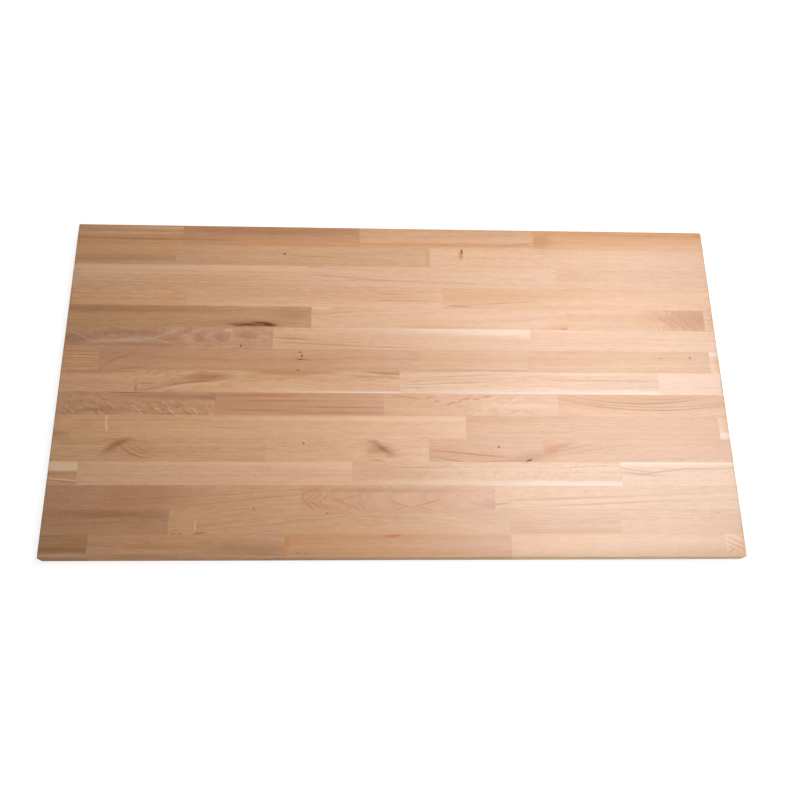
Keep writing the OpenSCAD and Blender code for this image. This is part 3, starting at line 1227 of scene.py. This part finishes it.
def staveTree():
    tree, given, result = newGroup(
        "stave block",
        "GeometryNodeTree",
        [
            ("Size", "NodeSocketVector"),
            ("Centre", "NodeSocketVector"),
            ("Panel Half", "NodeSocketVector"),
            ("Cell", "NodeSocketFloat"),
            ("Border", "NodeSocketFloat"),
            ("Under Share", "NodeSocketFloat"),
            ("Touch", "NodeSocketFloat"),
            ("Material", "NodeSocketMaterial"),
        ],
        [("Geometry", "NodeSocketGeometry")],
    )
    maths = "ShaderNodeMath"
    sizes = addNode(tree, "ShaderNodeSeparateXYZ", {0: given["Size"]}).outputs
    place = addNode(tree, "GeometryNodeInputPosition").outputs[0]
    placeAxes = addNode(tree, "ShaderNodeSeparateXYZ", {0: place}).outputs
    counts = []
    spread = []
    for axis in (0, 1):
        cells = addNode(tree, maths, {0: sizes[axis], 1: given["Cell"]}, operation="DIVIDE").outputs[0]
        wholeCells = addNode(tree, maths, {0: cells}, operation="CEIL").outputs[0]
        counts.append(addNode(tree, maths, {0: wholeCells, 1: 1}, operation="ADD").outputs[0])
        half = addNode(tree, maths, {0: sizes[axis], 1: 0.5}, operation="MULTIPLY").outputs[0]
        step = addNode(tree, maths, {0: sizes[axis], 1: wholeCells}, operation="DIVIDE").outputs[0]
        innerHalf = addNode(tree, maths, {0: half, 1: step}, operation="SUBTRACT").outputs[0]
        wantedHalf = addNode(tree, maths, {0: half, 1: given["Border"]}, operation="SUBTRACT").outputs[0]
        stretch = addNode(tree, maths, {0: wantedHalf, 1: innerHalf}, operation="DIVIDE").outputs[0]
        fromMiddle = addNode(tree, maths, {0: placeAxes[axis]}, operation="ABSOLUTE").outputs[0]
        rimStart = addNode(tree, maths, {0: step, 1: -0.5, 2: half}, operation="MULTIPLY_ADD").outputs[0]
        onRim = addNode(tree, maths, {0: fromMiddle, 1: rimStart}, operation="GREATER_THAN").outputs[0]
        factor = addNode(tree, "ShaderNodeMix", {0: onRim, 2: stretch, 3: 1.0}).outputs[0]
        spread.append(addNode(tree, maths, {0: placeAxes[axis], 1: factor}, operation="MULTIPLY").outputs[0])
    grid = addNode(
        tree,
        "GeometryNodeMeshCube",
        {"Size": given["Size"], "Vertices X": counts[0], "Vertices Y": counts[1], "Vertices Z": 2},
    ).outputs["Mesh"]
    spreadPlace = addNode(
        tree, "ShaderNodeCombineXYZ", {0: spread[0], 1: spread[1], 2: placeAxes[2]}
    ).outputs[0]
    ruled = addNode(
        tree, "GeometryNodeSetPosition", {"Geometry": grid, "Position": spreadPlace}
    ).outputs[0]
    moved = addNode(
        tree, "GeometryNodeTransform", {"Geometry": ruled, "Translation": given["Centre"]}
    ).outputs[0]

    # an edge on the panel's own outline is eased, and the underside less than the top
    outline = addNode(tree, "ShaderNodeSeparateXYZ", {0: given["Panel Half"]}).outputs
    near = []
    for axis in (0, 1):
        away = addNode(tree, maths, {0: placeAxes[axis]}, operation="ABSOLUTE").outputs[0]
        gap = addNode(tree, maths, {0: outline[axis], 1: away}, operation="SUBTRACT").outputs[0]
        near.append(addNode(tree, maths, {0: gap, 1: given["Touch"]}, operation="LESS_THAN").outputs[0])
    onOutline = addNode(tree, maths, {0: near[0], 1: near[1]}, operation="MAXIMUM").outputs[0]
    onCorner = addNode(tree, maths, {0: near[0], 1: near[1]}, operation="MULTIPLY").outputs[0]
    topLevel = addNode(tree, maths, {0: sizes[2], 1: given["Touch"]}, operation="SUBTRACT").outputs[0]
    onTop = addNode(tree, maths, {0: placeAxes[2], 1: topLevel}, operation="GREATER_THAN").outputs[0]
    onUnder = addNode(tree, maths, {0: placeAxes[2], 1: given["Touch"]}, operation="LESS_THAN").outputs[0]
    topEased = addNode(tree, maths, {0: onOutline, 1: onTop}, operation="MULTIPLY").outputs[0]
    underEased = addNode(tree, maths, {0: onOutline, 1: onUnder}, operation="MULTIPLY").outputs[0]
    underShare = addNode(tree, maths, {0: underEased, 1: given["Under Share"]}, operation="MULTIPLY").outputs[0]
    lowerTop = addNode(tree, maths, {0: topEased, 1: underShare}, operation="MAXIMUM").outputs[0]
    eased = addNode(tree, maths, {0: lowerTop, 1: onCorner}, operation="MAXIMUM").outputs[0]
    weighted = addNode(
        tree,
        "GeometryNodeStoreNamedAttribute",
        {"Geometry": moved, "Name": "bevel_weight_edge", "Value": eased},
        data_type="FLOAT",
        domain="EDGE",
    ).outputs[0]
    realized = addNode(tree, "GeometryNodeRealizeInstances", {0: weighted}).outputs[0]
    finished = addNode(
        tree, "GeometryNodeSetMaterial", {"Geometry": realized, "Material": given["Material"]}
    ).outputs[0]
    tree.links.new(finished, result.inputs[0])
    return tree


def dentTree():
    tree, given, result = newGroup(
        "surface dent",
        "GeometryNodeTree",
        [
            ("Geometry", "NodeSocketGeometry"),
            ("Centre", "NodeSocketVector"),
            ("Half Length", "NodeSocketFloat"),
            ("Half Width", "NodeSocketFloat"),
            ("Slope", "NodeSocketFloat"),
            ("Depth", "NodeSocketFloat"),
            ("Top", "NodeSocketFloat"),
        ],
        [("Geometry", "NodeSocketGeometry")],
    )
    maths = "ShaderNodeMath"
    vectors = "ShaderNodeVectorMath"
    place = addNode(tree, "GeometryNodeInputPosition").outputs[0]
    local = addNode(tree, vectors, {0: place, 1: given["Centre"]}, operation="SUBTRACT").outputs[0]
    axes = addNode(tree, "ShaderNodeSeparateXYZ", {0: local}).outputs
    sloped = addNode(tree, maths, {0: axes[0], 1: given["Slope"]}, operation="MULTIPLY").outputs[0]
    straight = addNode(tree, maths, {0: axes[1], 1: sloped}, operation="SUBTRACT").outputs[0]
    lengthShare = addNode(tree, maths, {0: axes[0], 1: given["Half Length"]}, operation="DIVIDE").outputs[0]
    widthShare = addNode(tree, maths, {0: straight, 1: given["Half Width"]}, operation="DIVIDE").outputs[0]
    reachAt = addNode(tree, "ShaderNodeCombineXYZ", {0: lengthShare, 1: widthShare}).outputs[0]
    reach = addNode(tree, vectors, {0: reachAt}, operation="LENGTH").outputs["Value"]
    roughAt = addNode(tree, "ShaderNodeTexNoise", {"Vector": place, "Scale": 300, "Detail": 1})
    ragged = addNode(tree, maths, {0: roughAt.outputs["Fac"], 1: 0.6, 2: reach}, operation="MULTIPLY_ADD")
    hollow = addNode(
        tree,
        "ShaderNodeMapRange",
        {"Value": ragged.outputs[0], "From Min": 1.3, "From Max": 0.7},
        interpolation_type="SMOOTHSTEP",
    ).outputs[0]
    drop = addNode(tree, maths, {0: hollow, 1: given["Depth"]}, operation="MULTIPLY").outputs[0]
    down = addNode(tree, maths, {0: 0, 1: drop}, operation="SUBTRACT").outputs[0]
    offset = addNode(tree, "ShaderNodeCombineXYZ", {2: down}).outputs[0]
    height = addNode(tree, "ShaderNodeSeparateXYZ", {0: place}).outputs[2]
    onTop = addNode(tree, maths, {0: height, 1: given["Top"]}, operation="GREATER_THAN").outputs[0]
    dented = addNode(
        tree,
        "GeometryNodeSetPosition",
        {"Geometry": given["Geometry"], "Selection": onTop, "Offset": offset},
    ).outputs[0]
    tree.links.new(dented, result.inputs[0])
    return tree


def setInputs(modifier, values):
    for item in modifier.node_group.interface.items_tree:
        if item.in_out == "INPUT" and item.name in values:
            modifier[item.identifier] = values[item.name]


def makeStave(nodeName, look, material, blockTree, hollowTree):
    low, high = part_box(nodeName)
    dents = [mark for mark in look["marks"] if markKinds[mark[0]][4]]
    piece = bpy.data.objects.new("oak_" + nodeName, bpy.data.meshes.new(nodeName))
    bpy.context.collection.objects.link(piece)
    shape = piece.modifiers.new("block", "NODES")
    shape.node_group = blockTree
    setInputs(
        shape,
        {
            "Size": high - low,
            "Centre": (high + low) / 2,
            "Panel Half": panelHalf,
            "Cell": block["fineCell"] if dents else block["cell"],
            "Border": block["border"],
            "Under Share": block["underEase"] / block["topEase"],
            "Touch": block["touch"],
            "Material": material,
        },
    )
    for mark in dents:
        kind, startX, endX, y, thickness = mark[:5]
        rise = mark[5] if len(mark) > 5 else 0
        centreX, centreY = fromCorner((startX + endX) / 2, y)
        dent = piece.modifiers.new("dent", "NODES")
        dent.node_group = hollowTree
        setInputs(
            dent,
            {
                "Centre": Vector((centreX, centreY, 0)) * mm,
                "Half Length": (endX - startX) / 2 * mm,
                "Half Width": thickness / 2 * mm,
                "Slope": rise / (endX - startX),
                "Depth": markKinds[kind][4] * mm,
                "Top": high.z - block["touch"],
            },
        )
    ease = piece.modifiers.new("ease", "BEVEL")
    ease.limit_method = "WEIGHT"
    ease.width = block["topEase"]
    ease.segments = block["easeSteps"]
    bpy.context.view_layer.update()
    evaluated = piece.evaluated_get(bpy.context.evaluated_depsgraph_get())
    mesh = bpy.data.meshes.new_from_object(evaluated)
    piece.modifiers.clear()
    piece.data = mesh
    mesh.shade_smooth()
    mesh.set_sharp_from_angle(angle=math.radians(30))
    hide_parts(nodeName)
    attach(piece, "root")
    return piece


slotOf = {part["node"]: part["material_slot"] for part in frame["record"]["subparts"]}
grainTree = oakGrainGroup(grainScale)
markTree = woodMarkGroup()
blockTree = staveTree()
hollowTree = dentTree()
triangles = 0
for order, (nodeName, own) in enumerate(staves.items()):
    look = {**plainStave, **own, "slot": slotOf[nodeName].removeprefix("oak_")}
    material = oakMaterial(nodeName, look, grainTree, markTree, 1.37 * (order + 1))
    piece = makeStave(nodeName, look, material, blockTree, hollowTree)
    triangles += sum(len(face.vertices) - 2 for face in piece.data.polygons)
print("staves made:", len(staves), "with", triangles, "triangles")

# The floor, the light and the camera

studio = {
    "floorSize": 8.0,
    "floorDrop": 0.5 * mm,
    "floorColour": "#f4f3f1",
    "floorGlow": 0.86,  # what the camera sees of the floor beside its own shading
    "floorShading": 0.3,
    "floorFade": (0.75, 1.5),  # m from the middle, over which the floor turns into the white backdrop
    "skyColour": "#ffffff",
    "skyStrength": 0.08,
    "backdropTop": (0.25, 0.5),  # sine of the angle above level where the white backdrop fades out
}


def makeFloor(look):
    half = look["floorSize"] / 2
    mesh = bpy.data.meshes.new("floor")
    level = cadLow.z - look["floorDrop"]
    corners = [(-half, -half, level), (half, -half, level), (half, half, level), (-half, half, level)]
    mesh.from_pydata(corners, [], [(0, 1, 2, 3)])
    floor = bpy.data.objects.new("floor", mesh)
    bpy.context.collection.objects.link(floor)
    material = bpy.data.materials.new("matt white paper sweep")
    material.use_nodes = True
    tree = material.node_tree
    tree.nodes.clear()
    paper = linearColour(look["floorColour"])
    shaded = addNode(tree, "ShaderNodeBsdfDiffuse", {"Color": paper}).outputs[0]
    thin = [c * look["floorShading"] for c in paper[:3]] + [1]
    shadow = addNode(tree, "ShaderNodeBsdfDiffuse", {"Color": thin}).outputs[0]
    place = addNode(tree, "ShaderNodeTexCoord").outputs["Object"]
    away = addNode(tree, "ShaderNodeVectorMath", {0: place}, operation="LENGTH").outputs["Value"]
    fadeStart, fadeEnd = look["floorFade"]
    glowing = addNode(
        tree,
        "ShaderNodeMapRange",
        {"Value": away, "From Min": fadeStart, "From Max": fadeEnd, "To Min": look["floorGlow"], "To Max": 1},
        interpolation_type="SMOOTHSTEP",
    ).outputs[0]
    glow = addNode(tree, "ShaderNodeEmission", {"Color": (1, 1, 1, 1), "Strength": glowing}).outputs[0]
    seen = addNode(tree, "ShaderNodeAddShader", {0: shadow, 1: glow}).outputs[0]
    path = addNode(tree, "ShaderNodeLightPath").outputs
    mirrored = addNode(
        tree, "ShaderNodeMath", {0: path["Is Camera Ray"], 1: path["Is Glossy Ray"]}, operation="MAXIMUM"
    ).outputs[0]
    direct = addNode(
        tree, "ShaderNodeMath", {0: mirrored, 1: path["Is Transmission Ray"]}, operation="MAXIMUM"
    ).outputs[0]
    both = addNode(tree, "ShaderNodeMixShader", {0: direct, 1: shaded, 2: seen}).outputs[0]
    addNode(tree, "ShaderNodeOutputMaterial", {"Surface": both})
    mesh.materials.append(material)


def makeSky(look):
    world = bpy.data.worlds.new("studio")
    bpy.context.scene.world = world
    world.use_nodes = True
    tree = world.node_tree
    tree.nodes.clear()
    fill = addNode(
        tree,
        "ShaderNodeBackground",
        {"Color": linearColour(look["skyColour"]), "Strength": look["skyStrength"]},
    ).outputs[0]
    white = addNode(tree, "ShaderNodeBackground", {"Color": (1, 1, 1, 1), "Strength": 1}).outputs[0]
    path = addNode(tree, "ShaderNodeLightPath").outputs
    mirrored = addNode(
        tree, "ShaderNodeMath", {0: path["Is Camera Ray"], 1: path["Is Glossy Ray"]}, operation="MAXIMUM"
    ).outputs[0]
    direct = addNode(
        tree, "ShaderNodeMath", {0: mirrored, 1: path["Is Transmission Ray"]}, operation="MAXIMUM"
    ).outputs[0]
    direction = addNode(tree, "ShaderNodeTexCoord").outputs["Generated"]
    height = addNode(tree, "ShaderNodeSeparateXYZ", {0: direction}).outputs[2]
    fadeStart, fadeEnd = look["backdropTop"]
    backdrop = addNode(
        tree, "ShaderNodeMapRange", {"Value": height, "From Min": fadeEnd, "From Max": fadeStart}
    ).outputs[0]
    share = addNode(tree, "ShaderNodeMath", {0: direct, 1: backdrop}, operation="MULTIPLY").outputs[0]
    both = addNode(tree, "ShaderNodeMixShader", {0: share, 1: fill, 2: white}).outputs[0]
    addNode(tree, "ShaderNodeOutputWorld", {"Surface": both})


lamps = {
    "softboxRight": {
        "place": (0.95, 0.53, 2.0),
        "aim": (0.1, 0.2, 0.0),
        "beam": 60,  # degrees, so that the middle is lit more than the ends
        "size": (1.45, 1.45),
        "power": 9.65,
        "colour": "#ffffff",
    },
    "softboxFront": {  # for the face of the near edge
        "place": (1.05, -1.6, 1.4),
        "aim": (0.15, -0.3, 0.0),
        "beam": 180,
        "size": (1.6, 1.6),
        "power": 14.6,
        "colour": "#ffffff",
    },
}


def makeLamp(name, look):
    data = bpy.data.lights.new(name, "AREA")
    data.shape = "RECTANGLE"
    data.size, data.size_y = look["size"]
    data.spread = math.radians(look["beam"])
    data.energy = look["power"]
    data.color = linearColour(look["colour"])[:3]
    lamp = bpy.data.objects.new(name, data)
    bpy.context.collection.objects.link(lamp)
    lamp.location = look["place"]
    lamp.rotation_mode = "QUATERNION"
    lamp.rotation_quaternion = (Vector(look["aim"]) - Vector(look["place"])).to_track_quat("-Z", "Y")


view = {
    "place": (-0.0712, -0.5750, 1.5168),
    "heading": 8.08,  # degrees to the right of +Y
    "pitch": 69.90,  # degrees below level
    "roll": 7.91,
    "lens": 39.8,
}


def makeCamera(look):
    data = bpy.data.cameras.new("camera")
    data.sensor_width = 36
    data.lens = look["lens"]
    camera = bpy.data.objects.new("camera", data)
    bpy.context.collection.objects.link(camera)
    turn = Matrix.Rotation(-math.radians(look["heading"]), 4, "Z")
    turn = turn @ Matrix.Rotation(math.radians(90 - look["pitch"]), 4, "X")
    turn = turn @ Matrix.Rotation(math.radians(look["roll"]), 4, "Z")
    camera.matrix_world = Matrix.Translation(look["place"]) @ turn
    bpy.context.scene.camera = camera


makeFloor(studio)
makeSky(studio)
for lampName, lampLook in lamps.items():
    makeLamp(lampName, lampLook)
makeCamera(view)
bpy.context.scene.view_settings.view_transform = "Standard"
print("studio ready")
